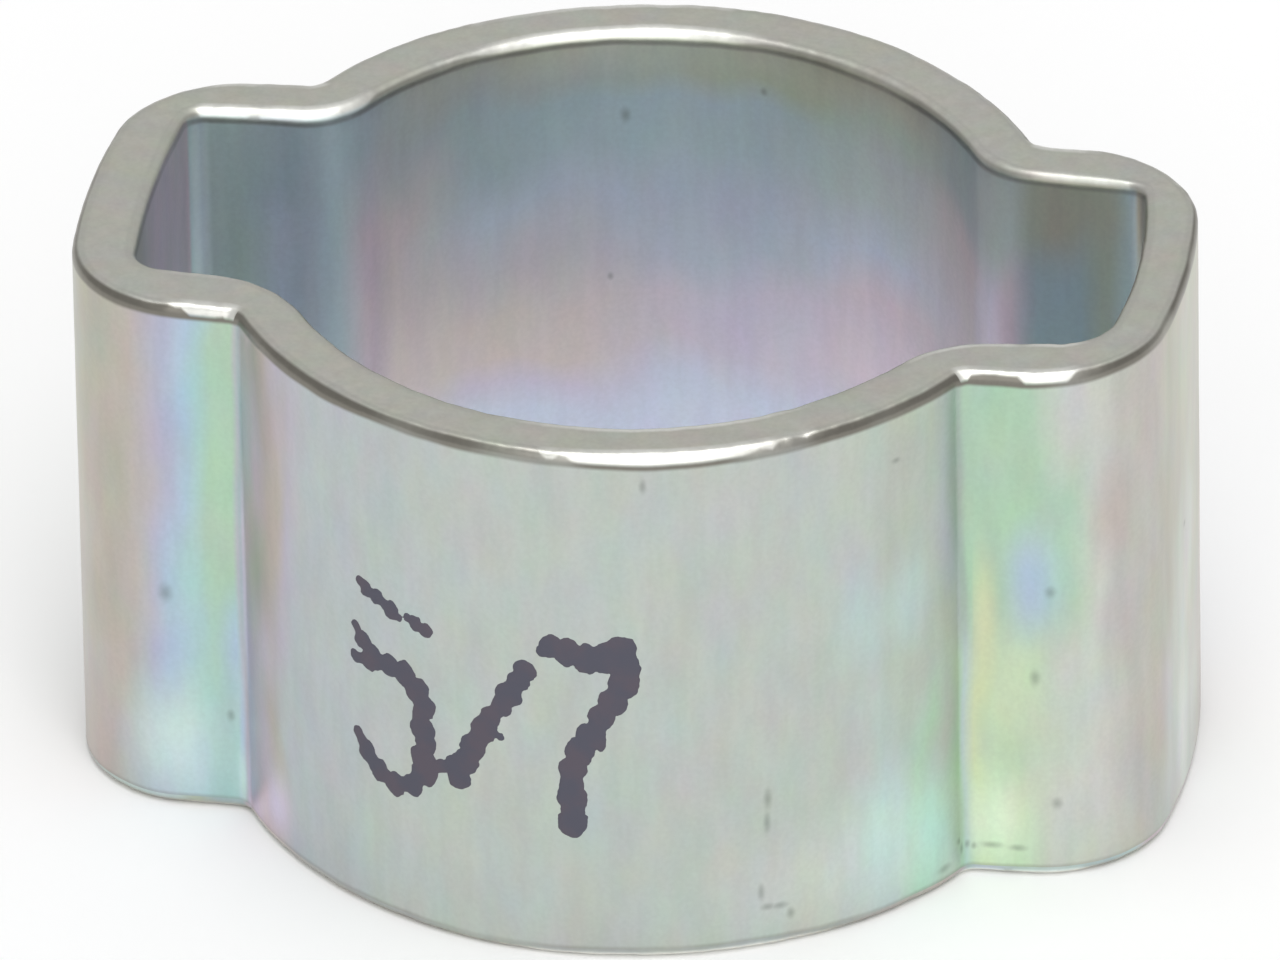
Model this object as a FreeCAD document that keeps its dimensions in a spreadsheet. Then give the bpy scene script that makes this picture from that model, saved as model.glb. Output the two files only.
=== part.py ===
"""Two-ear hose clamp for a thin hose, open, as it is before its ears are pinched shut.

A round band with two ears on opposite sides, all one closed loop of formed steel tube.
The bore's axis is Z and the clamp stands on its lower rim, at z = 0. The ears lie along
X. A quarter of the section is drawn, raised, and mirrored across X and across Y.
Lengths are in millimetres and angles in degrees.
"""
import FreeCAD, Part
import math
import os

import Sketcher

os.makedirs("parts", exist_ok=True)
doc = FreeCAD.newDocument("ear_hose_clamp")

# The driving sizes, one per row of the sheet: name, value, meaning

SIZES = [
    ("bore_radius", 3.5, "round part of the inside, open"),
    ("wall", 0.6, "thickness of the tube wall, even all the way round"),
    ("band_width", 5.75, "height along the bore's axis"),
    ("ear_height", 1.27, "how far an ear's inside stands out past the bore, at its middle"),
    ("ear_gap", 2.88, "inside width of an ear, measured at its end"),
    ("ear_taper", 2.3, "slope of each ear side, narrowing outwards"),
    ("end_bow", 12.0, "inside radius of an ear's slightly bowed end"),
    ("corner_inside", 0.3, "radius of an ear's corners, inside"),
    ("corner_outside", 1.15, "radius of an ear's corners, outside, where pressing thins the wall"),
    ("root_outside", 0.2, "radius of the bend between band and ear, on the hollow outer side"),
    ("rim_round", 0.1, "rounding of the tumbled edges of both rims"),
]

sheet = doc.addObject("Spreadsheet::Sheet", "sizes")
for row, (name, value, meaning) in enumerate(SIZES, start=1):
    sheet.set("A%d" % row, meaning)
    sheet.set("B%d" % row, str(value))
    sheet.setAlias("B%d" % row, name)
doc.recompute()

# How a sketch numbers the ends and the centre of an edge, its own origin and its axes

START, END, CENTRE = range(1, 4)
X_AXIS, Y_AXIS = range(-1, -3, -1)
ORIGIN = (X_AXIS, START)


def origin_plane(body, role):
    """One of a body's own origin planes."""
    return next(plane for plane in body.Origin.OriginFeatures if plane.Role == role)


def relate(sketch, kind, *where):
    """Adds a constraint that has no size, such as a tangency."""
    sketch.addConstraint(Sketcher.Constraint(kind, *where))


def dimension(sketch, name, kind, *where, size):
    """Adds a named dimension and ties it to an expression of the sheet. It starts at the last
    number of where, the edge's size as it is drawn."""
    index = sketch.addConstraint(Sketcher.Constraint(kind, *where))
    sketch.renameConstraint(index, name)
    sketch.setExpression("Constraints." + name, size)


def add_arc(sketch, centre, radius, start, end):
    """Draws an arc of a circle, from one angle to another, in radians."""
    circle = Part.Circle(FreeCAD.Vector(*centre, 0), FreeCAD.Vector(0, 0, 1), radius)
    return sketch.addGeometry(Part.ArcOfCircle(circle, start, end))


def add_line(sketch, start, end, construction=False):
    """Draws a straight edge."""
    edge = Part.LineSegment(FreeCAD.Vector(*start, 0), FreeCAD.Vector(*end, 0))
    return sketch.addGeometry(edge, construction)


class Outline:
    """A quarter of the inner or the outer outline, from the ear's end round to the band's top.

    It is drawn about right first, from plain numbers, with its edges held smoothly together.
    Then tie() gives each edge its exact size from the sheet.
    """

    def __init__(self, sketch, side, radius, root, half_gap, reach, bow, corner):
        self.sketch = sketch
        self.side = side
        self.radii = {"band": radius, "root": root, "corner": corner, "bow": bow}
        self.reach = reach
        quarter_turn = math.pi / 2
        foot_x = math.sqrt((radius + root) ** 2 - (half_gap + root) ** 2)
        foot_angle = math.atan2(half_gap + root, foot_x)
        bow_angle = (half_gap - corner) / bow
        self.bow = add_arc(sketch, (reach - bow, 0), bow, 0, bow_angle)
        self.corner = add_arc(
            sketch, (reach - corner, half_gap - corner), corner, bow_angle, quarter_turn
        )
        self.flank = add_line(sketch, (reach - corner, half_gap), (foot_x, half_gap))
        self.root = add_arc(
            sketch, (foot_x, half_gap + root), root, foot_angle + math.pi, 3 * quarter_turn
        )
        self.band = add_arc(sketch, (0, 0), radius, foot_angle, quarter_turn)
        relate(sketch, "Coincident", self.band, CENTRE, *ORIGIN)
        relate(sketch, "PointOnObject", self.band, END, Y_AXIS)
        relate(sketch, "PointOnObject", self.bow, CENTRE, X_AXIS)
        relate(sketch, "PointOnObject", self.bow, START, X_AXIS)
        relate(sketch, "Tangent", self.bow, END, self.corner, START)
        relate(sketch, "Tangent", self.corner, END, self.flank, START)
        relate(sketch, "Tangent", self.flank, END, self.root, END)
        relate(sketch, "Tangent", self.root, START, self.band, START)

    def tie(self, reach, **radius_of):
        """Ties the outline's reach and the radius of each of its arcs."""
        for part, size in radius_of.items():
            dimension(
                self.sketch, "%s_%s" % (self.side, part),
                "Radius", getattr(self, part), self.radii[part], size=size,
            )
        dimension(
            self.sketch, self.side + "_reach",
            "DistanceX", *ORIGIN, self.bow, START, self.reach, size=reach,
        )


def section_sketch(body):
    """A quarter of the clamp's section: the part of it where x and y are both positive."""
    sketch = body.newObject("Sketcher::SketchObject", "quarter_section")
    sketch.AttachmentSupport = [(origin_plane(body, "XY_Plane"), "")]
    sketch.MapMode = "FlatFace"

    reach = sheet.bore_radius + sheet.ear_height
    half_gap = sheet.ear_gap / 2
    inner = Outline(
        sketch, "inner", radius=sheet.bore_radius, root=sheet.root_outside + sheet.wall,
        half_gap=half_gap, reach=reach, bow=sheet.end_bow, corner=sheet.corner_inside,
    )
    outer = Outline(
        sketch, "outer", radius=sheet.bore_radius + sheet.wall, root=sheet.root_outside,
        half_gap=half_gap + sheet.wall, reach=reach + sheet.wall,
        bow=sheet.end_bow + sheet.wall, corner=sheet.corner_outside,
    )

    # Where the quarter is cut: across the middle of the ear's end, and across the band
    cuts = [(inner.bow, outer.bow, START), (inner.band, outer.band, END)]
    for inner_edge, outer_edge, at in cuts:
        points = [sketch.getPoint(edge, at) for edge in (inner_edge, outer_edge)]
        cut = add_line(sketch, *[(point.x, point.y) for point in points])
        relate(sketch, "Coincident", cut, START, inner_edge, at)
        relate(sketch, "Coincident", cut, END, outer_edge, at)

    # Half of the ear's gap is read on a gauge line, level with the inside of the ear's end
    gauge = add_line(sketch, (reach, 0), (reach, half_gap), construction=True)
    relate(sketch, "Coincident", gauge, START, inner.bow, START)
    relate(sketch, "Vertical", gauge)
    relate(sketch, "PointOnObject", gauge, END, inner.flank)
    dimension(
        sketch, "half_gap", "DistanceY", gauge, START, gauge, END, half_gap,
        size="sizes.ear_gap / 2",
    )

    # The ear's side slopes, and its outer face is parallel to the inner one, a wall away
    dimension(
        sketch, "taper", "Angle", inner.flank, math.pi - math.radians(sheet.ear_taper),
        size="180 - sizes.ear_taper",
    )
    relate(sketch, "Parallel", outer.flank, inner.flank)
    dimension(
        sketch, "ear_wall", "Distance", outer.flank, START, inner.flank, sheet.wall,
        size="sizes.wall",
    )

    inner.tie(
        reach="sizes.bore_radius + sizes.ear_height", band="sizes.bore_radius",
        root="sizes.root_outside + sizes.wall", corner="sizes.corner_inside",
        bow="sizes.end_bow",
    )
    outer.tie(
        reach="sizes.bore_radius + sizes.ear_height + sizes.wall",
        band="sizes.bore_radius + sizes.wall", root="sizes.root_outside",
        corner="sizes.corner_outside", bow="sizes.end_bow + sizes.wall",
    )
    return sketch


def rim_edges(shape, height):
    """Names of the edges that lie in the lower or the upper rim."""
    close = 1e-6
    names = []
    for index, edge in enumerate(shape.Edges, start=1):
        box = edge.BoundBox
        in_lower = abs(box.ZMax) < close
        in_upper = abs(box.ZMin - height) < close
        if in_lower or in_upper:
            names.append("Edge%d" % index)
    return names


def clamp_band():
    """Band and ears: the quarter section raised, mirrored twice, and its rims rounded."""
    body = doc.addObject("PartDesign::Body", "clamp_band")
    sketch = section_sketch(body)
    doc.recompute()

    quarter = body.newObject("PartDesign::Pad", "quarter")
    quarter.Profile = sketch
    quarter.setExpression("Length", "sizes.band_width")
    doc.recompute()

    ring = body.newObject("PartDesign::MultiTransform", "ring")
    ring.Originals = [quarter]
    mirrors = []
    for name, role in (("across_x", "YZ_Plane"), ("across_y", "XZ_Plane")):
        mirror = body.newObject("PartDesign::Mirrored", name)
        mirror.MirrorPlane = (origin_plane(body, role), [""])
        mirrors.append(mirror)
    ring.Transformations = mirrors
    body.Tip = ring
    doc.recompute()

    rims = body.newObject("PartDesign::Fillet", "rims")
    rims.Base = (ring, rim_edges(ring.Shape, sheet.band_width))
    rims.setExpression("Radius", "sizes.rim_round")
    body.Tip = rims
    doc.recompute()
    return body


def check(parts):
    """Stops the build if a feature failed, or a part is missing, not valid or in pieces."""
    for item in doc.Objects:
        if {"Invalid", "Error"} & set(item.State):
            raise RuntimeError("%s did not build: %s" % (item.Name, item.State))
    for part in parts:
        if part.Shape.isNull() or not part.Shape.isValid():
            raise RuntimeError(part.Label + " is not a valid shape")
        if len(part.Shape.Solids) != 1:
            raise RuntimeError(part.Label + " is not one solid")


parts = [clamp_band()]
doc.recompute()
check(parts)
for part in parts:
    part.Shape.exportStep("parts/%s.step" % part.Label)
    box = part.Shape.optimalBoundingBox()
    print(part.Label, "volume %.3f mm3" % part.Shape.Volume)
    print("box %.3f x %.3f x %.3f mm" % (box.XLength, box.YLength, box.ZLength))
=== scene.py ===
"""The looks of an open ear hose clamp: its formed tube with uneven ears, its passivated
zinc coat and the size numbers sprayed on it, in plain studio light.

Lengths are in millimetres up to the moment a mesh is made. Round the clamp, places are
shares of the whole way, anticlockwise from the middle of the ear at +X: the back is at
0.25, the other ear at 0.5 and the front at 0.75.
"""

import math
from collections import namedtuple

import bpy
import numpy as np
from mathutils import Euler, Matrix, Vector, noise


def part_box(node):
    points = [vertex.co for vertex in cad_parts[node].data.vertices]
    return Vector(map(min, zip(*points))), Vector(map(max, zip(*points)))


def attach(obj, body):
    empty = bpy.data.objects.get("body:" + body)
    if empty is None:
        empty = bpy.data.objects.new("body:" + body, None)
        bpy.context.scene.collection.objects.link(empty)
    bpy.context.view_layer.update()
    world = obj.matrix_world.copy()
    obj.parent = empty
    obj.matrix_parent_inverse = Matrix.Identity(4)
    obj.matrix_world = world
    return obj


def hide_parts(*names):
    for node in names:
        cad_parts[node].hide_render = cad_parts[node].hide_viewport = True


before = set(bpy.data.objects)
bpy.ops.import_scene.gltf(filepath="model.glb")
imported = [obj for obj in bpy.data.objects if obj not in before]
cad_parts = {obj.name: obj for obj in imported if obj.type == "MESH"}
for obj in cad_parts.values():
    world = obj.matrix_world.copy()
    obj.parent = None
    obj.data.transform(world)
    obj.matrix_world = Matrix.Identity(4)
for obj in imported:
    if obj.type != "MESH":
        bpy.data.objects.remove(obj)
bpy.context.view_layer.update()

METRES = 0.001

# Sizes of the clamp: its outside comes from the band in model.glb, the rest is as in the CAD model

LOW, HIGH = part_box("clamp_band")
WALL = 0.6
HEIGHT = (HIGH.z - LOW.z) / METRES
BAND_RADIUS = (HIGH.y - LOW.y) / METRES / 2
BORE_RADIUS = BAND_RADIUS - WALL
EAR_REACH = (HIGH.x - LOW.x) / METRES / 2 - WALL
END_BOW = 12.0
CORNER_OUTSIDE = 1.15
RIM_ROUND = 0.1

# The sides of the ears, all on the inside: half the gap at the ear's end, the slope in degrees,
# and the radii of the corner and of the root. The even side is the CAD model's, and pressing
# left the others a little different from it.

Side = namedtuple("Side", "half_gap slope corner root")
EVEN_SIDE = Side(1.44, 2.3, 0.3, 0.8)
RIGHT_BACK = Side(1.44, 2.3, 0.17, 0.8)
RIGHT_FRONT = Side(1.32, 7.5, 0.48, 1.06)
LEFT_BACK = Side(1.44, 2.3, 0.24, 0.8)
LEFT_FRONT = Side(1.34, 3.3, 0.31, 1.28)

# How the ears are bent besides. On the inside, the whole end lies further out by inner_end, and
# its middle by bulge too. On the outside, the end leans by slant, as a share of y, and its corners
# lie further out by corners. The ear moves along y by shift. A value below 0 means the other way.
# All of it fades out towards the band, from PRESS_TO down to PRESS_FROM along x.

PRESS_FROM = 3.2
PRESS_TO = 4.8
EAR_HALF_WIDTH = 1.6
RIGHT_EAR = {"inner_end": 0.0, "bulge": 0.095, "slant": 0.0, "corners": -0.07, "shift": 0.007}
LEFT_EAR = {"inner_end": -0.035, "bulge": 0.0, "slant": 0.021, "corners": -0.046, "shift": -0.032}

# How many steps the mesh takes along each stretch of the outline, and round the wall

STEPS = {"bow": 12, "corner": 32, "flank": 16, "root": 18, "band": 100}
WALL_STEPS = 40
ROUND_STEPS = 6
RIM_STEPS = 5


# The outline of the clamp

def arc(centre, radius, start, end, steps):
    """Points along an arc of a circle, both ends included."""
    angles = np.linspace(start, end, steps + 1)
    return np.stack([
        centre[0] + radius * np.cos(angles),
        centre[1] + radius * np.sin(angles),
    ], 1)


def on_flank(side, offset, centre, distance):
    """The outer of the two points that lie on a line beside an ear's inner side, at a distance
    from a centre. A positive offset puts the line further from the ear's middle."""
    slope = math.radians(side.slope)
    direction = np.array([math.cos(slope), -math.sin(slope)])
    rise = side.half_gap + EAR_REACH * math.tan(slope) + offset / math.cos(slope)
    start = np.array([0.0, rise])
    from_centre = start - centre
    half = from_centre @ direction
    along = math.sqrt(half ** 2 - from_centre @ from_centre + distance ** 2) - half
    return start + along * direction


def heading(vector):
    """The angle that a vector points at."""
    return math.atan2(vector[1], vector[0])


def quarter_outline(side, offset=0.0, corner=None):
    """A quarter of the outline at an offset from the inside of the wall, from the middle of the
    ear's end round to the top of the band."""
    corner = corner or side.corner
    root = side.root - offset
    bow = END_BOW + offset
    radius = BORE_RADIUS + offset
    bow_centre = np.array([EAR_REACH + offset - bow, 0.0])
    corner_centre = on_flank(side, offset - corner, bow_centre, bow - corner)
    root_centre = on_flank(side, offset + root, np.zeros(2), radius + root)
    corner_from = heading(corner_centre - bow_centre)
    corner_to = math.pi / 2 - math.radians(side.slope)
    band_from = heading(root_centre)
    end_arc = arc(bow_centre, bow, 0, corner_from, STEPS["bow"])
    corner_arc = arc(corner_centre, corner, corner_from, corner_to, STEPS["corner"])
    root_arc = arc(
        root_centre, root, corner_to - math.pi, band_from - math.pi, STEPS["root"]
    )
    share = np.linspace(0, 1, STEPS["flank"] + 1)[:, None]
    flank = corner_arc[-1] + share * (root_arc[0] - corner_arc[-1])
    band = arc((0, 0), radius, band_from, math.pi / 2, STEPS["band"])
    return np.concatenate([end_arc[:-1], corner_arc[:-1], flank[:-1], root_arc[:-1], band])


def smooth_step(value, low, high):
    """0 below low, 1 above high, and an even curve between them."""
    share = np.clip((value - low) / (high - low), 0, 1)
    return share * share * (3 - 2 * share)


def as_pressed(points, inside):
    """The whole outline with its ears bent a little. The middle of each ear's outer end stays
    as far out as it is, so the clamp keeps its length."""
    x, y = points.T
    moved = points.copy()
    for side, ear in ((1, RIGHT_EAR), (-1, LEFT_EAR)):
        weight = smooth_step(side * x, PRESS_FROM, PRESS_TO)
        bowed = (y / EAR_HALF_WIDTH) ** 2
        if inside:
            moved[:, 0] += weight * side * (ear["inner_end"] + ear["bulge"] * (1 - bowed))
        else:
            moved[:, 0] += weight * (ear["slant"] * y + side * ear["corners"] * bowed)
        moved[:, 1] += weight * ear["shift"]
    return moved


def all_round(right_back, left_back, left_front, right_front):
    """The whole outline from its four quarters, anticlockwise from the ear at +X."""
    return np.concatenate([
        right_back, left_back[-2:0:-1] * (-1, 1), -left_front, right_front[-2:0:-1] * (1, -1),
    ])


INNER_QUARTERS = [
    quarter_outline(side) for side in (RIGHT_BACK, LEFT_BACK, LEFT_FRONT, RIGHT_FRONT)
]
OUTER_QUARTERS = [quarter_outline(EVEN_SIDE, WALL, CORNER_OUTSIDE)] * 4
INSIDE = as_pressed(all_round(*INNER_QUARTERS), inside=True)
OUTSIDE = as_pressed(all_round(*OUTER_QUARTERS), inside=False)

# Where tumbling rubbed the edges of the rims round and bright, and their coat is painted near white
# as a painted highlight: a place on the way round half the clamp, and how much. Elsewhere they
# are sharper, with a line of painted dark reflection.

OUTER_RUBBED_AND_HIGHLIT = [
    (0.148, 0.0), (0.154, 0.4), (0.161, 0.4), (0.168, 0.9), (0.181, 0.9), (0.186, 0.55),
    (0.191, 0.9), (0.207, 0.9), (0.216, 0.0), (0.484, 0.0), (0.490, 0.6), (0.497, 0.6),
    (0.501, 0.35), (0.510, 0.7), (0.552, 1.0), (0.575, 0.85), (0.615, 0.65), (0.626, 0.45),
    (0.633, 0.6), (0.640, 0.2), (0.650, 0.2), (0.657, 0.45), (0.664, 0.0), (0.776, 0.0),
    (0.784, 0.8), (0.797, 0.8), (0.803, 0.5), (0.815, 0.38), (0.841, 0.42), (0.850, 0.9),
    (0.866, 0.9), (0.876, 0.0),
]
INNER_RUBBED_AND_HIGHLIT = [
    (0.140, 0.0), (0.160, 0.3), (0.188, 0.3), (0.205, 0.0), (0.445, 0.0), (0.485, 0.7),
    (0.530, 1.0), (0.620, 1.0), (0.650, 0.7), (0.685, 0.0), (0.760, 0.0), (0.785, 0.9),
    (0.822, 0.9), (0.830, 0.25), (0.838, 0.9), (0.868, 0.9), (0.884, 0.0),
]

# How much rounder rubbing made an edge, over how long a stretch that evens out, and how uneven
# the edges are besides: by how much, the step from one edge's seed to the next, and the scale

RUBBED_ROUNDER = 0.3
RUBBED_EVENED = 0.02
EDGE_WAVES = [(0.2, 7.3, 0.9), (0.1, 5.1, 3.1)]

# How deep pressing and tumbling dented the faces: in long waves all over, and in short ones that
# are deeper near the rims. A larger scale makes shorter waves.

LONG_DENT = 0.004
LONG_SCALE = 0.8
SHORT_DENT = 0.001
SHORT_SCALE = 3.5
RIM_DENT = 0.010
NEAR_RIM = 0.12


# The band's mesh

def shares_round():
    """How far round the clamp each column of the mesh lies, as a share of the whole way."""
    middle = (INSIDE + OUTSIDE) / 2
    lengths = np.linalg.norm(np.roll(middle, -1, axis=0) - middle, axis=1)
    return np.concatenate([[0], np.cumsum(lengths)[:-1]]) / lengths.sum()


def wavering(seed, scale):
    """Smooth noise round the clamp, from about -1 to 1, one value a column."""
    return np.array([noise.noise((x, y, seed)) for x, y in (INSIDE + OUTSIDE) / 2 * scale])


def rubbed_at(half, edges):
    """How much an edge was rubbed at places on the way round half the clamp, evened out."""
    places, amounts = zip(*edges)
    nearby = np.linspace(-RUBBED_EVENED, RUBBED_EVENED, 9)
    return np.mean([np.interp(half + step, places, amounts) for step in nearby], axis=0)


def rim_rounds():
    """The rounding of the four edges, which tumbling left uneven, one radius a column."""
    half = 2 * shares_round() % 1
    rounds = {}
    for index, edge in enumerate(("outer_top", "inner_top", "inner_bottom", "outer_bottom")):
        rubbed_and_highlit = rubbed_at(half, OUTER_RUBBED_AND_HIGHLIT if "outer" in edge else INNER_RUBBED_AND_HIGHLIT)
        uneven = sum(
            amount * wavering(index * seed_step, scale) for amount, seed_step, scale in EDGE_WAVES
        )
        rounds[edge] = RIM_ROUND * (1.0 + RUBBED_ROUNDER * rubbed_and_highlit + uneven)
    return rounds


def section_path(rounds):
    """The path round the wall's section, up the outside and down the inside. For each step it
    gives how far in from the outer face each column's point lies, and its height."""
    span = np.linalg.norm(INSIDE - OUTSIDE, axis=1)
    wall_shares = np.linspace(0, 1, WALL_STEPS + 1)
    turn = np.linspace(0, math.pi / 2, ROUND_STEPS + 1)[1:-1]
    rim_shares = np.linspace(0, 1, RIM_STEPS + 1)
    path = []

    def wall(face, distance_in, shares):
        bottom = rounds[face + "_bottom"]
        top = rounds[face + "_top"]
        for share in shares:
            path.append((distance_in, bottom + share * (HEIGHT - top - bottom)))

    def rounding(edge, angles):
        for angle in angles:
            from_face = rounds[edge] * (1 - math.cos(angle))
            from_rim = rounds[edge] * (1 - math.sin(angle))
            path.append((
                from_face if "outer" in edge else span - from_face,
                HEIGHT - from_rim if "top" in edge else from_rim,
            ))

    def rim(end, height, shares):
        outer = rounds["outer_" + end]
        inner = rounds["inner_" + end]
        for share in shares:
            path.append((outer + share * (span - inner - outer), height + 0 * span))

    wall("outer", 0 * span, wall_shares)
    rounding("outer_top", turn)
    rim("top", HEIGHT, rim_shares)
    rounding("inner_top", turn[::-1])
    wall("inner", span, wall_shares[::-1])
    rounding("inner_bottom", turn)
    rim("bottom", 0, rim_shares[::-1])
    rounding("outer_bottom", turn[::-1])
    return path


def grid_normals(points):
    """Normals of a closed grid of points, from their neighbours both ways."""
    round_way = np.roll(points, -1, axis=1) - np.roll(points, 1, axis=1)
    up_way = np.roll(points, -1, axis=0) - np.roll(points, 1, axis=0)
    normals = np.cross(round_way, up_way)
    return normals / np.linalg.norm(normals, axis=2, keepdims=True)


def field(points, scale, seed, octaves=1):
    """Smooth noise at each point of a grid."""
    flat = points.reshape(-1, 3) * scale + (seed, 2.7 * seed, 1.3 * seed)
    if octaves == 1:
        values = [noise.noise(point) for point in flat]
    else:
        values = [noise.fractal(point, 0.9, 2.1, octaves) for point in flat]
    return np.array(values).reshape(points.shape[:2])


def band_points():
    """The band as a closed grid of points: rows round the wall's section, columns round the
    clamp."""
    span = np.linalg.norm(INSIDE - OUTSIDE, axis=1)
    inwards = (INSIDE - OUTSIDE) / span[:, None]
    rows = []
    for distance_in, height in section_path(rim_rounds()):
        plan = OUTSIDE + inwards * distance_in[:, None]
        rows.append(np.column_stack([plan, height]))
    points = np.array(rows)
    past_wall = np.abs(points[:, :, 2] - HEIGHT / 2) - HEIGHT / 2 + NEAR_RIM
    on_rim = np.clip(past_wall / NEAR_RIM, 0, 1)
    dent = LONG_DENT * field(points, LONG_SCALE, 1.0)
    dent += (SHORT_DENT + RIM_DENT * on_rim) * field(points, SHORT_SCALE, 2.0, octaves=2)
    return points - np.abs(dent)[:, :, None] * grid_normals(points)


def band_mesh():
    """The band's mesh, with a map that unrolls it: across is the way round the clamp, up is the
    way round the wall's section."""
    points = band_points()
    rows, columns = points.shape[:2]
    index = np.arange(rows * columns).reshape(rows, columns)
    right = np.roll(index, -1, axis=1)
    above = np.roll(index, -1, axis=0)
    both = np.roll(right, -1, axis=0)
    quads = np.stack([index, right, both, above], 2).reshape(-1, 4)
    mesh = bpy.data.meshes.new("clamp_band")
    mesh.from_pydata((points.reshape(-1, 3) * METRES).tolist(), [], quads.tolist())

    across = np.append(shares_round(), 1.0)
    steps = np.linalg.norm(np.roll(points, -1, axis=0) - points, axis=2).mean(axis=1)
    up = np.concatenate([[0], np.cumsum(steps)]) / steps.sum()
    u = np.stack([across[:-1], across[1:], across[1:], across[:-1]], 1)
    v = np.stack([up[:-1], up[:-1], up[1:], up[1:]], 1)
    corners = np.empty((rows, columns, 4, 2))
    corners[..., 0] = u[None, :, :]
    corners[..., 1] = v[:, None, :]
    unrolled = mesh.uv_layers.new(name="unrolled")
    unrolled.uv.foreach_set("vector", corners.ravel().astype(np.float32))
    mesh.polygons.foreach_set("use_smooth", [True] * len(mesh.polygons))
    mesh.update()
    return mesh


# Materials

class Nodes:
    """Adds nodes to a new material. Each input takes a plain value or another node's socket."""

    def __init__(self, name):
        self.material = bpy.data.materials.new(name)
        self.material.use_nodes = True
        self.tree = self.material.node_tree
        self.shader = self.tree.nodes["Principled BSDF"]

    def give(self, node, inputs):
        """Sets or links some of a node's inputs."""
        for key, value in inputs.items():
            if isinstance(value, bpy.types.NodeSocket):
                self.tree.links.new(value, node.inputs[key])
            else:
                node.inputs[key].default_value = value

    def add(self, kind, settings=None, **inputs):
        """Adds a node of a kind, with its settings and its inputs."""
        node = self.tree.nodes.new("ShaderNode" + kind)
        for key, value in (settings or {}).items():
            setattr(node, key, value)
        self.give(node, inputs)
        return node

    def math(self, operation, *values):
        """The result of an operation on numbers."""
        node = self.add("Math", {"operation": operation})
        self.give(node, dict(enumerate(values)))
        return node.outputs[0]

    def vector_math(self, operation, *values):
        """The result of an operation on vectors."""
        node = self.add("VectorMath", {"operation": operation})
        self.give(node, dict(enumerate(values)))
        return node.outputs["Value" if operation == "LENGTH" else "Vector"]

    def level(self, value, start, end, low=0.0, high=1.0):
        """Turns a value that goes from start to end into one that goes from low to high."""
        node = self.add("MapRange", {"interpolation_type": "SMOOTHSTEP"})
        self.give(node, {0: value, 1: start, 2: end, 3: low, 4: high})
        return node.outputs[0]

    def split(self, vector):
        """The three parts of a vector or a colour."""
        return self.add("SeparateXYZ", Vector=vector).outputs

    def place(self):
        """Where a point of the piece lies, in millimetres."""
        position = self.add("TexCoord").outputs["Object"]
        return self.vector_math("MULTIPLY", position, (1 / METRES,) * 3)

    def noise(self, vector, scale, detail=2.0, output="Fac"):
        """Smooth noise. A larger scale makes it finer."""
        return self.add("TexNoise", Vector=vector, Scale=scale, Detail=detail).outputs[output]

    def mix(self, factor, first, second):
        """A colour between two others."""
        node = self.add("Mix", {"data_type": "RGBA"})
        self.give(node, {0: factor, 6: first, 7: second})
        return node.outputs[2]

    def ramp(self, value, stops):
        """A colour ramp through (place, colour) stops."""
        node = self.add("ValToRGB", Fac=value)
        assert len(stops) <= 32, "a colour ramp holds at most 32 stops"
        elements = node.color_ramp.elements
        elements[0].position, elements[0].color = stops[0]
        elements[1].position, elements[1].color = stops[-1]
        for place, colour in stops[1:-1]:
            elements.new(place).color = colour
        return node.outputs["Color"]


def shade(red, green, blue):
    """A colour given as it looks on a screen, from 0 to 255, as the linear colour of nodes."""
    linear = [
        part / 12.92 if part <= 0.04045 else ((part + 0.055) / 1.055) ** 2.4
        for part in (red / 255, green / 255, blue / 255)
    ]
    return (*linear, 1.0)


# Colours of the coat on the outside of the wall

ZINC = shade(188, 195, 189)
CLOUD = shade(181, 188, 190)
# Painted shade, for the crease at an ear's root
ROOT_SHADE_GREY = shade(169, 183, 187)
PEARL = shade(201, 205, 198)
CHALK = shade(216, 220, 215)
CREAM = shade(189, 191, 176)
SAND = shade(178, 177, 163)
UMBER = shade(185, 175, 166)
BLUSH = shade(188, 180, 174)
FAWN = shade(190, 188, 182)
PETAL = shade(208, 189, 200)
THISTLE = shade(206, 198, 214)
MAUVE = shade(185, 181, 191)
LILAC = shade(180, 182, 202)
SKY = shade(177, 198, 214)
AQUA = shade(175, 206, 203)
FOAM = shade(199, 220, 215)
DEW = shade(205, 224, 222)
HAZE = shade(185, 204, 200)
MINT = shade(176, 204, 180)
JADE = shade(190, 225, 214)
MEADOW = shade(199, 215, 186)
SPRING = shade(222, 240, 211)
LIME = shade(206, 216, 178)
OLIVE = shade(183, 191, 180)
# Painted shade, for the crease at an ear's root
ROOT_SHADE_GREEN = shade(168, 184, 174)

# The coat's bands round one half of the clamp, from the middle of one ear to the middle of the
# other: once as they are high on the wall, and once as they are low on it

# Beside the ears' roots, two darker stops are painted shade in the creases
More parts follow.
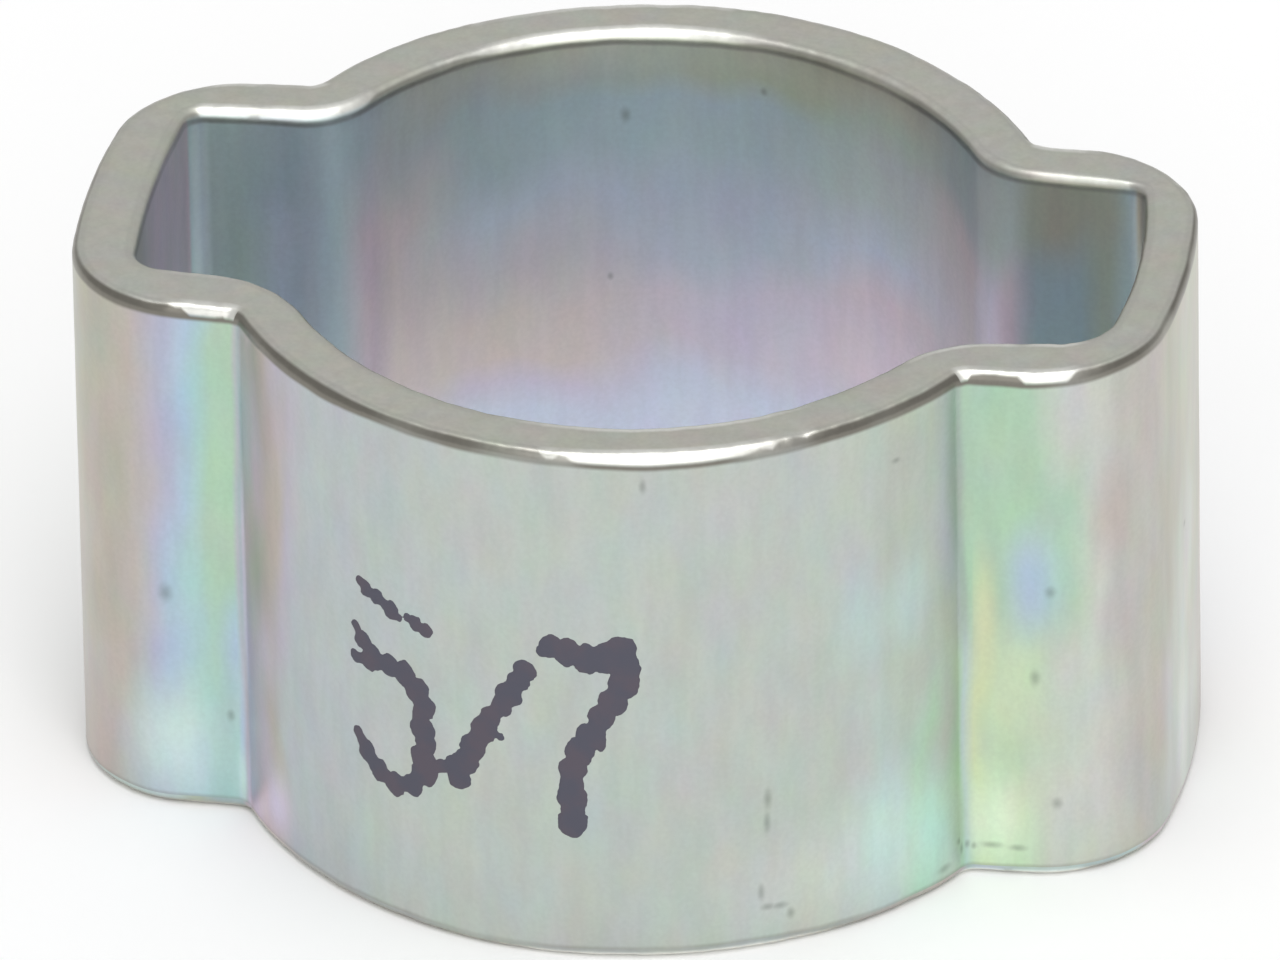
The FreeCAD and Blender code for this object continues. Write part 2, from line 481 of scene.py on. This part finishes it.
OUTER_HIGH = [
    (0.00, CREAM), (0.08, SAND), (0.112, SAND), (0.125, BLUSH), (0.138, MAUVE), (0.147, LILAC),
    (0.159, SKY), (0.169, AQUA), (0.181, MINT), (0.199, MINT), (0.211, CLOUD), (0.221, ROOT_SHADE_GREY),
    (0.232, THISTLE), (0.246, PETAL), (0.262, UMBER), (0.275, UMBER), (0.29, MAUVE),
    (0.315, CLOUD), (0.48, ZINC), (0.70, ZINC), (0.719, OLIVE), (0.75, OLIVE), (0.762, CLOUD),
    (0.774, ROOT_SHADE_GREEN), (0.780, ROOT_SHADE_GREEN), (0.791, MINT), (0.858, MINT), (0.876, PEARL), (0.890, FAWN),
    (0.912, FAWN), (0.94, SAND), (1.00, CREAM),
]
OUTER_LOW = [
    (0.00, PEARL), (0.08, BLUSH), (0.118, BLUSH), (0.13, CLOUD), (0.138, LILAC), (0.149, SKY),
    (0.166, AQUA), (0.195, AQUA), (0.205, SKY), (0.219, MAUVE), (0.231, THISTLE), (0.24, PETAL),
    (0.252, PETAL), (0.268, BLUSH), (0.285, CLOUD), (0.325, CLOUD), (0.40, ZINC), (0.69, ZINC),
    (0.706, HAZE), (0.722, HAZE), (0.738, MINT), (0.752, OLIVE), (0.768, MINT), (0.779, HAZE),
    (0.806, LIME), (0.820, MEADOW), (0.845, MEADOW), (0.866, PEARL), (0.884, PEARL),
    (0.905, FAWN), (0.935, ZINC), (1.00, PEARL),
]

# Colours of the coat on the inside, which is paler but gets less light

DUSK = shade(219, 203, 213)
SHADOW = shade(186, 184, 176)
KHAKI = shade(205, 204, 184)
MOSS = shade(203, 214, 192)
OPAL = shade(200, 211, 207)
TEAL = shade(193, 214, 218)
ICE = shade(200, 220, 224)
HEATHER = shade(207, 217, 231)
SLATE = shade(206, 220, 231)
MIST = shade(216, 232, 229)
REED = shade(210, 230, 213)
LINEN = shade(217, 221, 202)
GLINT = shade(219, 237, 236)
DAWN = shade(217, 214, 219)
ROSE = shade(230, 220, 216)
ORCHID = shade(238, 224, 235)
VIOLET = shade(225, 219, 235)
FROST = shade(223, 231, 248)

# Its bands on the ears, once high on the wall and once low on it, and on the band from its
# lower rim up, as they are on the right, in the middle and on the left

# The palest stops at the ears' inner corners are a painted glint, where the corner catches the
# light
EARS_HIGH = [
    (0.00, DUSK), (0.060, SHADOW), (0.104, SHADOW), (0.122, KHAKI), (0.134, MIST),
    (0.148, MIST), (0.158, KHAKI), (0.190, KHAKI), (0.201, MOSS), (0.211, OPAL),
    (0.28, OPAL), (0.735, OPAL), (0.785, TEAL), (0.798, ICE), (0.815, SLATE), (0.840, GLINT),
    (0.864, GLINT), (0.875, ICE), (0.902, ICE), (0.911, DUSK), (1.00, DUSK),
]
EARS_LOW = [
    (0.00, DUSK), (0.060, SHADOW), (0.090, SHADOW), (0.104, OPAL), (0.124, GLINT),
    (0.150, GLINT), (0.162, MOSS), (0.176, TEAL), (0.200, TEAL), (0.212, DUSK), (0.222, VIOLET),
    (0.236, ROSE), (0.75, ROSE), (0.775, DUSK), (0.790, TEAL), (0.802, SLATE), (0.815, FROST),
    (0.840, MIST), (0.850, GLINT), (0.864, GLINT), (0.875, ICE), (0.902, ICE), (0.911, DUSK),
    (1.00, DUSK),
]
INNER_RIGHT = [
    (0.00, ZINC), (0.16, FROST), (0.24, FROST), (0.32, VIOLET), (0.39, ORCHID), (0.54, ORCHID),
    (0.63, FROST), (0.74, MIST), (0.82, MIST), (0.89, REED), (0.95, LINEN), (1.00, KHAKI),
]
INNER_MIDDLE = [
    (0.00, ZINC), (0.16, FROST), (0.30, FROST), (0.38, VIOLET), (0.48, VIOLET), (0.56, HEATHER),
    (0.66, HEATHER), (0.78, ICE), (0.87, ICE), (0.92, MOSS), (1.00, LINEN),
]
INNER_LEFT = [
    (0.00, ZINC), (0.16, FROST), (0.25, FROST), (0.31, VIOLET), (0.37, ROSE), (0.47, ROSE),
    (0.56, DAWN), (0.68, SLATE), (0.78, TEAL), (0.88, TEAL), (0.93, OPAL), (1.00, LINEN),
]

RIM = shade(199, 199, 190)
# Rubbed zinc, painted near white as a highlight on the rubbed edges
RUBBED_AND_HIGHLIGHT = shade(240, 240, 234)
# Painted shade: the dark line that the roundings of the rims show where they mirror darker
# surroundings
PAINTED_DARK_REFLECTION = shade(126, 123, 115)
SPECK = shade(92, 98, 92)

# Where the wall's parts lie on the way round half its section, as shares of the whole way round
# it: the wall ends where its rounding starts, and the rim ends before the rounding to the next
# wall, which starts half way. The parts fade into each other, and the rims' coat does so on that
# last rounding.

WALL_ENDS = 0.443
RIM_STARTS = 0.4555
RIM_ENDS = 0.4875
RIM_COAT_FADES = 0.4935
HALF_WAY = 0.5
FADE = 0.004
INSIDE_FADE = 0.002

# How wide the line of painted dark reflection is on a rounding, where it is sharp and where it is
# rubbed

OUTER_DARK_LINE_WIDE = 0.0105
OUTER_DARK_LINE_THIN = 0.0035
INNER_DARK_LINE_WIDE = 0.0085
INNER_DARK_LINE_THIN = 0.0045
DARK_LINE_FADE = 0.0035

# Soft stains on the outer wall: place, height, half the width, half the height, and colour.
# The place is in half turns from the middle of the ear at -X, below 0 where it is at the back.
# Where stains overlap, the later one lies on top.

STAINS = [
    (0.660, 0.6, 1.60, 1.0, PEARL), (0.814, 3.0, 0.22, 1.2, LIME),
    (0.848, 3.4, 0.38, 0.95, SKY), (0.820, 0.6, 0.62, 0.9, SPRING),
    (0.742, 0.7, 0.48, 1.1, JADE), (0.704, 0.9, 0.70, 1.2, FOAM),
    (0.150, 0.75, 0.48, 1.15, DEW), (0.726, 3.5, 0.42, 0.9, HAZE),
    (0.690, 3.5, 0.45, 0.9, HAZE), (0.274, 0.5, 0.40, 0.6, THISTLE),
    (0.192, 1.9, 0.25, 0.9, SKY), (0.256, 2.1, 0.42, 1.0, PETAL),
    (0.238, 0.3, 0.35, 0.5, THISTLE), (0.893, 4.1, 0.32, 0.9, BLUSH),
    (0.922, 1.3, 0.28, 1.1, BLUSH), (0.203, 0.35, 0.28, 0.55, FOAM),
    (0.868, 2.35, 0.28, 1.0, PEARL), (0.974, 0.7, 0.36, 1.6, CHALK),
    (-0.835, 2.1, 0.40, 1.3, HAZE), (-0.690, 4.4, 0.60, 0.9, PEARL),
    (-0.290, 1.2, 0.60, 1.1, FOAM), (-0.178, 3.9, 0.30, 1.2, LIME),
    (-0.165, 1.1, 0.45, 0.9, MEADOW),
]

# Soft specks, scratches and crumbs of dirt: place, height, half the width and half the height

OUTER_SPECKS = [
    (0.1470, 2.45, 0.07, 0.16), (0.1860, 1.10, 0.06, 0.10), (0.9808, 3.05, 0.07, 0.06),
    (0.8588, 3.28, 0.06, 0.10), (0.8510, 2.30, 0.06, 0.14), (0.8612, 0.85, 0.06, 0.10),
    (0.7180, 5.15, 0.07, 0.05), (0.5514, 5.42, 0.05, 0.12), (0.6262, 1.72, 0.06, 0.18),
    (0.6255, 1.45, 0.05, 0.18), (0.6210, 0.66, 0.05, 0.14), (0.6250, 0.48, 0.10, 0.06),
    (0.6330, 0.47, 0.12, 0.06), (0.6400, 0.36, 0.06, 0.10), (0.7680, 0.43, 0.06, 0.06),
    (0.7740, 0.33, 0.09, 0.11), (0.7870, 0.36, 0.13, 0.07), (0.8010, 0.33, 0.13, 0.06),
    (0.8180, 0.35, 0.19, 0.06), (0.8380, 0.33, 0.15, 0.06), (0.7540, 0.22, 0.12, 0.07),
    (-0.8720, 3.90, 0.06, 0.10), (-0.6610, 1.20, 0.07, 0.06), (-0.5240, 4.95, 0.05, 0.13),
    (-0.3850, 2.60, 0.06, 0.08), (-0.3310, 0.50, 0.20, 0.07), (-0.1210, 2.05, 0.06, 0.12),
    (-0.0310, 4.40, 0.07, 0.06),
]
INNER_SPECKS = [
    (-0.4404, 4.80, 0.09, 0.13), (-0.5450, 5.18, 0.06, 0.07), (-0.4270, 2.95, 0.05, 0.07),
]
SPECK_STRENGTH = 0.4

# Spots are placed on a flat map of the wall, where half a turn is about as long as on the clamp.
# The inner face lies well apart from the outer one there, so no spot shows on both.

HALF_LENGTH = 14.33
INSIDE_AT = 10.0

# How much the colours drift by themselves, how fine each pattern is, and the coat's roughness

OUTER_TINT = 0.2
INNER_TINT = 0.12
RIM_TINT = 0.14
CLOUD_SCALE = 1.2
MOTTLE_SCALE = 2.6
STREAK_SCALE = 7.0
FINE_SCALE = 20.0
GRAIN = 0.04
OUTER_ROUGHNESS = 0.29
INNER_ROUGHNESS = 0.37
RIM_ROUGHER = 0.20
FINE_ROUGHNESS = 0.06


def distance(nodes, flat, place, height, half_width, half_height, face=0.0):
    """How far a spot is: 0 at its middle and 1 on its edge. The face is 0 or INSIDE_AT."""
    scale = np.array([1 / half_width, 1 / half_height, 1.0])
    centre = np.array([(1 + place) * HALF_LENGTH, height, face])
    away = nodes.vector_math("MULTIPLY_ADD", flat, tuple(scale), tuple(-centre * scale))
    return nodes.vector_math("LENGTH", away)


def from_middle(nodes, half, middle):
    """How far a place on the way round half the clamp is from a middle."""
    return nodes.math("ABSOLUTE", nodes.math("SUBTRACT", half, middle))


def drifting(nodes, value, cloud, by):
    """A value that drifts up and down with a cloud, by no more than is given."""
    return nodes.math("ADD", value, nodes.level(cloud, 0.3, 0.7, -by, by))


def tinted(nodes, coat, cloud, strength):
    """A colour whose red, green and blue each drift a little by themselves."""
    drift = nodes.vector_math("MULTIPLY_ADD", cloud, (strength,) * 3, (1 - strength / 2,) * 3)
    return nodes.vector_math("MULTIPLY", coat, drift)


def outer_coat(nodes, flat, height, half, cloud, mottle):
    """Bands that drift from their upper to their lower colours, with stains and tints on them."""
    half = drifting(nodes, half, cloud[0], 0.008)
    low = nodes.level(drifting(nodes, height, cloud[1], 0.8), 3.6, 1.4)
    coat = nodes.mix(low, nodes.ramp(half, OUTER_HIGH), nodes.ramp(half, OUTER_LOW))
    for *spot, colour in STAINS:
        amount = nodes.level(distance(nodes, flat, *spot), 1.0, 0.0)
        coat = nodes.mix(amount, coat, colour)
    return tinted(nodes, coat, mottle, OUTER_TINT)


def inner_coat(nodes, height, half, cloud, mottle):
    """The ears' bands go by the way round the clamp, and the band's between them by height."""
    low = nodes.level(drifting(nodes, height, cloud[1], 0.25), 5.2, 4.2)
    ears = nodes.mix(low, nodes.ramp(half, EARS_HIGH), nodes.ramp(half, EARS_LOW))
    rise = nodes.level(cloud[2], 0.2, 0.8, -0.025, 0.025)
    rise = nodes.math("MULTIPLY_ADD", height, 1 / HEIGHT, rise)
    right, middle, left = [
        nodes.ramp(rise, bands) for bands in (INNER_RIGHT, INNER_MIDDLE, INNER_LEFT)
    ]
    band = nodes.mix(nodes.level(half, 0.36, 0.46), right, middle)
    band = nodes.mix(nodes.level(half, 0.47, 0.63), band, left)
    on_band = nodes.level(from_middle(nodes, half, 0.51), 0.265, 0.15)
    return tinted(nodes, nodes.mix(on_band, ears, band), mottle, INNER_TINT)


def rim_coat(nodes, section, outer_rubbed_and_highlit, inner_rubbed_and_highlit, mottle):
    """The rims are barer than the walls, and rubbed bright towards some of their edges, where they
    are painted near white as a painted highlight.
    """
    towards_outside = nodes.level(section, RIM_STARTS + FADE, RIM_STARTS)
    towards_inside = nodes.level(section, RIM_ENDS - FADE, RIM_ENDS)
    rim = tinted(nodes, RIM[:3], mottle, RIM_TINT)
    rim = nodes.mix(nodes.math("MULTIPLY", towards_outside, outer_rubbed_and_highlit), rim, RUBBED_AND_HIGHLIGHT)
    return nodes.mix(nodes.math("MULTIPLY", towards_inside, inner_rubbed_and_highlit), rim, RUBBED_AND_HIGHLIGHT)


def painted_dark_edges(nodes, section, half, outer_rubbed_and_highlit, inner_rubbed_and_highlit):
    """How dark the roundings are painted: a line of painted dark reflection along each, thin where
    the edge is rubbed bright.
    """
    ends = nodes.level(
        outer_rubbed_and_highlit, 0.2, 0.8, WALL_ENDS + OUTER_DARK_LINE_WIDE, WALL_ENDS + OUTER_DARK_LINE_THIN
    )
    outer = nodes.math(
        "MULTIPLY",
        nodes.level(section, WALL_ENDS - FADE, WALL_ENDS),
        nodes.level(nodes.math("SUBTRACT", section, ends), 0.0, -DARK_LINE_FADE),
    )
    starts = nodes.level(
        inner_rubbed_and_highlit, 0.0, 0.7, HALF_WAY - INNER_DARK_LINE_WIDE, HALF_WAY - INNER_DARK_LINE_THIN
    )
    inner = nodes.math(
        "MAXIMUM",
        nodes.level(nodes.math("SUBTRACT", section, starts), 0.0, DARK_LINE_FADE),
        nodes.level(section, FADE, 0.0),
    )
    by_end = nodes.level(from_middle(nodes, half, 0.5), 0.36, 0.41, 0.65, 0.35)
    return nodes.math("MAXIMUM", outer, nodes.math("MULTIPLY", inner, by_end))


def nearest_speck(nodes, flat):
    """How far the nearest speck is: 0 at its middle, and 1 on its edge and beyond."""
    nearest = 1.0
    for specks, face in ((OUTER_SPECKS, 0.0), (INNER_SPECKS, INSIDE_AT)):
        for spot in specks:
            nearest = nodes.math("MINIMUM", distance(nodes, flat, *spot, face), nearest)
    return nearest


def grey_stops(stops):
    """Ramp stops whose colours are grey."""
    return [(place, (value, value, value, 1)) for place, value in stops]


def zinc_coat():
    """Bright zinc plate, with a thin passivate that glances pink, blue, green and yellow."""
    nodes = Nodes("zinc_coat")
    place = nodes.place()
    upright = nodes.vector_math("MULTIPLY", place, (1.0, 1.0, 0.5))
    height = nodes.split(place)[2]
    across, up = nodes.split(nodes.add("UVMap", {"uv_map": "unrolled"}).outputs[0])[:2]
    cloud = nodes.split(nodes.noise(upright, CLOUD_SCALE, 0.0, "Color"))
    mottle = nodes.noise(upright, MOTTLE_SCALE, output="Color")
    fine = nodes.noise(place, FINE_SCALE)

    # The way round half the clamp, the way round half the wall's section, and the flat map
    half = nodes.math("FRACT", nodes.math("MULTIPLY", across, 2.0))
    section = nodes.math("MODULO", up, HALF_WAY)
    inside = nodes.level(up, RIM_ENDS - INSIDE_FADE, RIM_ENDS + INSIDE_FADE)
    flat = nodes.add(
        "CombineXYZ", X=nodes.math("MULTIPLY", across, 2 * HALF_LENGTH), Y=height,
        Z=nodes.math("MULTIPLY", inside, INSIDE_AT),
    ).outputs[0]

    # The walls, the rims between them and the painted dark reflection on the roundings
    coat = nodes.mix(
        inside,
        outer_coat(nodes, flat, height, half, cloud, mottle),
        inner_coat(nodes, height, half, cloud, mottle),
    )
    # How rubbed each edge is, which also says where the rims carry a painted highlight
    rubbed_and_highlit = [nodes.ramp(half, grey_stops(stops)) for stops in (OUTER_RUBBED_AND_HIGHLIT, INNER_RUBBED_AND_HIGHLIT)]
    on_rim = nodes.math(
        "MULTIPLY", nodes.level(section, WALL_ENDS, WALL_ENDS + FADE),
        nodes.level(section, HALF_WAY - 0.001, RIM_COAT_FADES),
    )
    coat = nodes.mix(on_rim, coat, rim_coat(nodes, section, *rubbed_and_highlit, mottle))
    # A painted dark reflection along the roundings, uneven, and weaker low on the wall
    dark_reflection = painted_dark_edges(nodes, section, half, *rubbed_and_highlit)
    dark_reflection = nodes.math("MULTIPLY", dark_reflection, nodes.level(cloud[2], 0.3, 0.6, 0.65, 1.0))
    dark_reflection = nodes.math("MULTIPLY", dark_reflection, nodes.level(height, 0.3, 1.0, 0.6, 1.0))
    coat = nodes.mix(dark_reflection, coat, PAINTED_DARK_REFLECTION)

    # Specks, and fine upright streaks and grain
    speck = nodes.level(nearest_speck(nodes, flat), 1.0, 0.0, 0.0, SPECK_STRENGTH)
    coat = nodes.mix(speck, coat, SPECK)
    streaky = nodes.vector_math("MULTIPLY", place, (1.0, 1.0, 0.15))
    grain = nodes.math("ADD", nodes.noise(streaky, STREAK_SCALE), fine)
    coat = nodes.add("VectorMath", {"operation": "SCALE"}, Vector=coat)
    nodes.give(coat, {"Scale": nodes.level(grain, 0.6, 1.4, 1 - GRAIN, 1 + GRAIN)})

    # The inside is rougher than the outside, and the rims are roughest
    on_flat = nodes.math(
        "MULTIPLY", nodes.level(section, RIM_STARTS, RIM_STARTS + FADE),
        nodes.level(section, RIM_ENDS, RIM_ENDS - FADE),
    )
    roughness = nodes.level(inside, 0.0, 1.0, OUTER_ROUGHNESS, INNER_ROUGHNESS)
    roughness = nodes.math("MULTIPLY_ADD", on_flat, RIM_ROUGHER, roughness)
    relief = nodes.add("Bump", Height=fine, Strength=0.4, Distance=0.0015 * METRES)
    nodes.give(nodes.shader, {
        "Base Color": coat.outputs["Vector"], "Metallic": 1.0,
        "Roughness": nodes.math("MULTIPLY_ADD", fine, FINE_ROUGHNESS, roughness),
        "Normal": relief.outputs["Normal"],
    })
    return nodes.material


INK_DARK = shade(88, 82, 92)
INK_BLUE = shade(81, 81, 93)


def ink():
    """Dark ink, sprayed in small dots and uneven in tone."""
    nodes = Nodes("ink")
    place = nodes.place()
    tone = nodes.level(nodes.noise(place, 3.0, 3.0), 0.35, 0.65)
    relief = nodes.add("Bump", Strength=0.5, Distance=0.002 * METRES)
    nodes.give(relief, {"Height": nodes.noise(place, FINE_SCALE, 3.0)})
    nodes.give(nodes.shader, {
        "Base Color": nodes.mix(tone, INK_DARK, INK_BLUE),
        "Roughness": 0.7, "Specular IOR Level": 0.3, "Normal": relief.outputs["Normal"],
    })
    return nodes.material


# The clamp

def put(piece, material):
    """Dresses a piece of the clamp and lets it ride on the clamp's one body."""
    bpy.context.scene.collection.objects.link(piece)
    piece.data.materials.append(material)
    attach(piece, "root")


def formed_band():
    """The whole clamp, which stands for the CAD solid."""
    piece = bpy.data.objects.new("formed_band", band_mesh())
    put(piece, zinc_coat())
    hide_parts("clamp_band")


# The size numbers, sprayed on the front in dots. Each stroke lists its dots: how far right of
# the front's middle along the wall, how high, and the dot's radius

MARK_STROKES = [
    [(-2.21, 3.73, 0.045), (-2.12, 3.68, 0.082), (-1.99, 3.64, 0.086), (-1.83, 3.55, 0.090),
     (-1.73, 3.50, 0.040)],
    [(-1.64, 3.53, 0.045), (-1.55, 3.50, 0.078), (-1.43, 3.45, 0.076)],
    [(-2.28, 3.21, 0.050), (-2.18, 3.07, 0.105), (-2.06, 2.92, 0.130), (-1.86, 2.91, 0.118),
     (-1.68, 2.87, 0.130), (-1.55, 2.73, 0.138), (-1.47, 2.57, 0.124), (-1.51, 2.43, 0.090),
     (-1.49, 2.30, 0.134), (-1.46, 2.15, 0.118), (-1.50, 1.97, 0.135), (-1.47, 1.82, 0.142)],
    [(-2.10, 2.88, 0.115), (-2.28, 2.84, 0.060)],
    [(-1.49, 1.80, 0.120), (-1.62, 1.62, 0.115), (-1.82, 1.56, 0.122), (-2.01, 1.65, 0.116),
     (-2.16, 1.81, 0.108), (-2.26, 1.99, 0.062)],
    [(-1.42, 1.86, 0.080), (-1.28, 1.94, 0.060), (-1.16, 2.00, 0.080)],
    [(-1.10, 1.87, 0.126), (-1.03, 2.06, 0.132), (-0.95, 2.25, 0.134), (-0.82, 2.49, 0.136),
     (-0.76, 2.64, 0.106), (-0.64, 2.80, 0.106), (-0.57, 2.93, 0.130), (-0.46, 3.12, 0.110),
     (-0.41, 3.23, 0.115)],
    [(-0.80, 2.50, 0.110), (-0.67, 2.44, 0.050)],
    [(-0.23, 3.49, 0.055), (-0.14, 3.56, 0.120), (0.02, 3.50, 0.144), (0.20, 3.44, 0.150),
     (0.38, 3.46, 0.155), (0.53, 3.54, 0.155), (0.57, 3.36, 0.150), (0.56, 3.17, 0.148),
     (0.45, 2.96, 0.142), (0.34, 2.78, 0.136), (0.23, 2.57, 0.144), (0.12, 2.38, 0.146),
     (0.05, 2.18, 0.134), (0.04, 2.00, 0.124), (0.04, 1.84, 0.146), (0.04, 1.70, 0.122),
     (0.04, 1.56, 0.150)],
    [(0.22, 2.56, 0.100), (0.33, 2.46, 0.050)],
]
MARK_MARGIN = 0.2

# The dots are taller than wide, and the necks between them are thinner by a share. The outline
# is ragged by this much, at a scale, and spread a little.

DOT_STRETCH = 1.12
NECK_THINNER = 0.25
RAGGED = 0.022
RAGGED_SCALE = 8
INK_SPREAD = 0.006

# The layer of ink: how far it stands out of the wall and reaches into it, how far its edge sinks
# in, how wide the slope to its edge is, the step of the grid that it is cut from, and how steep
# its outline is at least taken to be when the edge is drawn onto it

INK_PROUD = 0.008
INK_ROOT = 0.012
INK_EDGE_SUNK = 0.002
INK_SLOPE = 0.035
INK_CELL = 0.016
LEAST_STEEP = 0.3


def ink_depth(x, z):
    """How deep inside the mark's outline each point lies, in mm: dots, and thinner necks that
    join each dot to the next."""
    depth = np.full(x.shape, -1.0)
    for stroke in MARK_STROKES:
        for dot_x, dot_z, radius in stroke:
            away = np.hypot(x - dot_x, (z - dot_z) / DOT_STRETCH)
            depth = np.maximum(depth, radius - away)
        for (ax, az, a_radius), (bx, bz, b_radius) in zip(stroke, stroke[1:]):
            length = (bx - ax) ** 2 + (bz - az) ** 2
            along = np.clip(((x - ax) * (bx - ax) + (z - az) * (bz - az)) / length, 0, 1)
            away = np.hypot(x - ax - along * (bx - ax), z - az - along * (bz - az))
            thinner = 1 - NECK_THINNER * np.sin(np.pi * along)
            neck = (a_radius + along * (b_radius - a_radius)) * thinner
            depth = np.maximum(depth, neck - away)
    return depth


def mark_grid():
    """A fine grid over the mark: how far right and how high each point lies, and how deep inside
    the ragged outline of the ink."""
    dots = np.array([dot for stroke in MARK_STROKES for dot in stroke])
    x, z = np.meshgrid(*[
        np.arange(dots[:, axis].min() - MARK_MARGIN, dots[:, axis].max() + MARK_MARGIN, INK_CELL)
        for axis in range(2)
    ])
    ragged = np.array([
        noise.fractal((px * RAGGED_SCALE, pz * RAGGED_SCALE, 3.0), 0.8, 2.2, 3)
        for px, pz in zip(x.ravel(), z.ravel())
    ]).reshape(x.shape)
    return x, z, ink_depth(x, z) + RAGGED * ragged + INK_SPREAD


def drawn_to_outline(x, z, depth, border):
    """The grid with the points of its border drawn onto the outline of the ink."""
    slope_z, slope_x = np.gradient(depth, INK_CELL)
    steep = np.maximum(slope_x ** 2 + slope_z ** 2, LEAST_STEEP)
    pull = np.clip(depth / steep, -INK_CELL, INK_CELL) * border
    return x - pull * slope_x, z - pull * slope_z


def layer_faces(kept, index, count):
    """The faces of a thin closed layer: its front, its back, and a wall all along its edge."""
    faces = []
    for row, column in np.argwhere(kept):
        a, b = index[row, column], index[row, column + 1]
        c, d = index[row + 1, column + 1], index[row + 1, column]
        faces.append((a, b, c, d))
        faces.append((d + count, c + count, b + count, a + count))
    edges = dict.fromkeys(
        edge for face in faces[::2] for edge in zip(face, face[1:] + face[:1])
    )
    for first, second in edges:
        if (second, first) not in edges:
            faces.append((second, first, first + count, second + count))
    return [tuple(map(int, face)) for face in faces]


def mark_mesh():
    """The mark as one thin closed layer on the outer wall: a fine grid, cut out along the
    outline of the ink, with its edge drawn onto that outline."""
    x, z, depth = mark_grid()
    middle = (depth[:-1, :-1] + depth[1:, :-1] + depth[:-1, 1:] + depth[1:, 1:]) / 4
    kept = middle > 0
    touching = np.zeros(x.shape, int)
    for down in (slice(None, -1), slice(1, None)):
        for left in (slice(None, -1), slice(1, None)):
            touching[down, left] += kept
    used = touching > 0
    border = used & (touching < 4)
    x, z = drawn_to_outline(x, z, depth, border)

    index = np.full(x.shape, -1)
    count = int(used.sum())
    index[used] = np.arange(count)
    rise = INK_PROUD * smooth_step(depth, 0.0, INK_SLOPE) * ~border - INK_EDGE_SUNK * border
    angle = x[used] / BAND_RADIUS
    layers = []
    for radius in (BAND_RADIUS + rise[used], BAND_RADIUS - INK_ROOT + 0 * rise[used]):
        layers.append(np.stack([radius * np.sin(angle), -radius * np.cos(angle), z[used]], 1))
    points = np.concatenate(layers)

    mesh = bpy.data.meshes.new("size_mark")
    mesh.from_pydata((points * METRES).tolist(), [], layer_faces(kept, index, count))
    mesh.polygons.foreach_set("use_smooth", [True] * len(mesh.polygons))
    mesh.update()
    return mesh


def size_mark():
    """The numbers of the hose size, 5 to 7 mm, in ink on the front of the band."""
    piece = bpy.data.objects.new("size_mark", mark_mesh())
    put(piece, ink())


# The studio, whose lengths are in metres

FLOOR_HALF = 4.0
LAMPS_AIM = (0, 0, 0.003)


def white_floor():
    """A plain matt white, for the floor alone."""
    nodes = Nodes("white_floor")
    nodes.give(nodes.shader, {
        "Base Color": (1, 1, 1, 1), "Roughness": 0.9, "Specular IOR Level": 0.0,
    })
    return nodes.material


def studio_floor():
    """A wide white floor, level with the clamp's lower rim."""
    mesh = bpy.data.meshes.new("studio_floor")
    signs = [(-1, -1), (1, -1), (1, 1), (-1, 1)]
    corners = [(FLOOR_HALF * x, FLOOR_HALF * y, 0) for x, y in signs]
    mesh.from_pydata(corners, [], [(0, 1, 2, 3)])
    mesh.materials.append(white_floor())
    floor = bpy.data.objects.new("studio_floor", mesh)
    bpy.context.scene.collection.objects.link(floor)


def softbox(name, place, size, power):
    """A soft lamp with straight sides, which points at the clamp."""
    lamp = bpy.data.lights.new(name, "AREA")
    lamp.shape = "RECTANGLE"
    lamp.size, lamp.size_y = size
    lamp.energy = power
    box = bpy.data.objects.new(name, lamp)
    box.location = place
    box.rotation_euler = (Vector(LAMPS_AIM) - Vector(place)).to_track_quat("-Z", "Y").to_euler()
    bpy.context.scene.collection.objects.link(box)


def room_light(colour, strength):
    """Even light from all round."""
    world = bpy.data.worlds.new("room")
    world.use_nodes = True
    background = world.node_tree.nodes["Background"]
    background.inputs["Color"].default_value = colour
    background.inputs["Strength"].default_value = strength
    bpy.context.scene.world = world


# The camera, as fitted to the clamp's outlines in the photograph. Its angles are in radians and
# its lengths in millimetres. It aims at a point beside and above the origin, as the camera sees it.

CAMERA_AZIMUTH = 0.1855
CAMERA_ELEVATION = 0.576
CAMERA_ROLL = -0.0176
CAMERA_DISTANCE = 300.0
PIXELS_PER_MM = 102.904
IMAGE_WIDTH = 1280
SENSOR_WIDTH = 36.0
AIM_RIGHT = -0.0132
AIM_UP = 2.377
CLIP_START = 10.0


def camera():
    """A long lens looking down at the front of the clamp, from a little to the right."""
    lens = bpy.data.cameras.new("camera")
    lens.sensor_width = SENSOR_WIDTH
    lens.lens = PIXELS_PER_MM * CAMERA_DISTANCE / IMAGE_WIDTH * SENSOR_WIDTH
    lens.clip_start = CLIP_START * METRES
    view = bpy.data.objects.new("camera", lens)
    turn = Euler((math.pi / 2 - CAMERA_ELEVATION, 0, CAMERA_AZIMUTH)).to_matrix()
    right, up, back = turn.col
    aim = AIM_RIGHT * right + AIM_UP * up
    view.matrix_world = (turn @ Euler((0, 0, CAMERA_ROLL)).to_matrix()).to_4x4()
    view.location = (aim + CAMERA_DISTANCE * back) * METRES
    bpy.context.scene.collection.objects.link(view)
    bpy.context.scene.camera = view


camera()
formed_band()
size_mark()
studio_floor()
room_light((1, 1, 1, 1), 0.62)
softbox("top_softbox", (0.04, -0.10, 0.45), (0.20, 0.42), 0.8)
softbox("front_softbox", (0.14, -0.60, 0.32), (0.62, 0.62), 1.24)
bpy.context.scene.view_settings.view_transform = "Standard"
